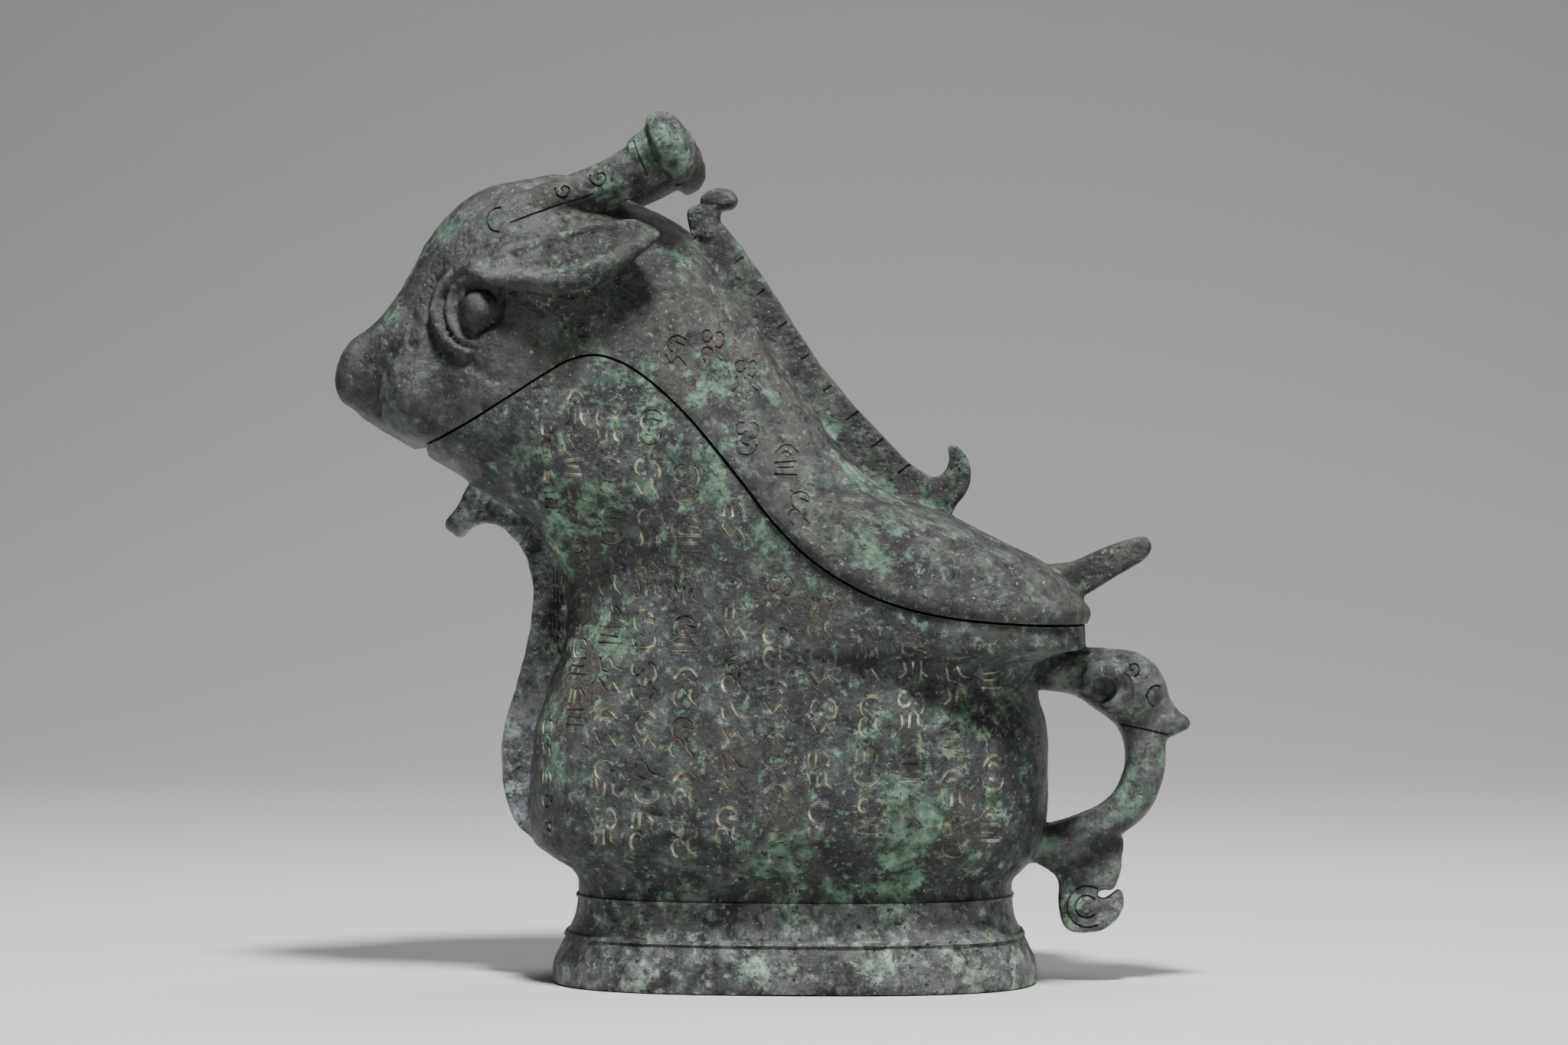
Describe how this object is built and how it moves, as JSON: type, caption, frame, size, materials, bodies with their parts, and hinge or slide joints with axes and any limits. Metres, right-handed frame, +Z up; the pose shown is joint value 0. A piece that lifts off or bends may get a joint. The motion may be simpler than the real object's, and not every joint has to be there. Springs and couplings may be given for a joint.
{
  "type": "gong wine vessel",
  "caption": "Cast bronze ritual wine vessel shaped as a horned beast, with a lift-off head-and-back lid, throat spout, beast handle and oval foot ring.",
  "frame": {"origin": "centre of the overall length and width, on the plane that the foot stands on", "axes": "+X towards the handle, -X towards the beast's nose, +Z up"},
  "size_m": [0.2886, 0.107, 0.2925],
  "materials": {
    "vessel_bronze": "patinated cast bronze, grey-green with mint green and olive patches",
    "lid_bronze": "patinated cast bronze, grey and olive with green patches"
  },
  "bodies": {
    "root": {"vessel": "vessel_bronze", "lid": "lid_bronze"}
  },
  "joints": []
}
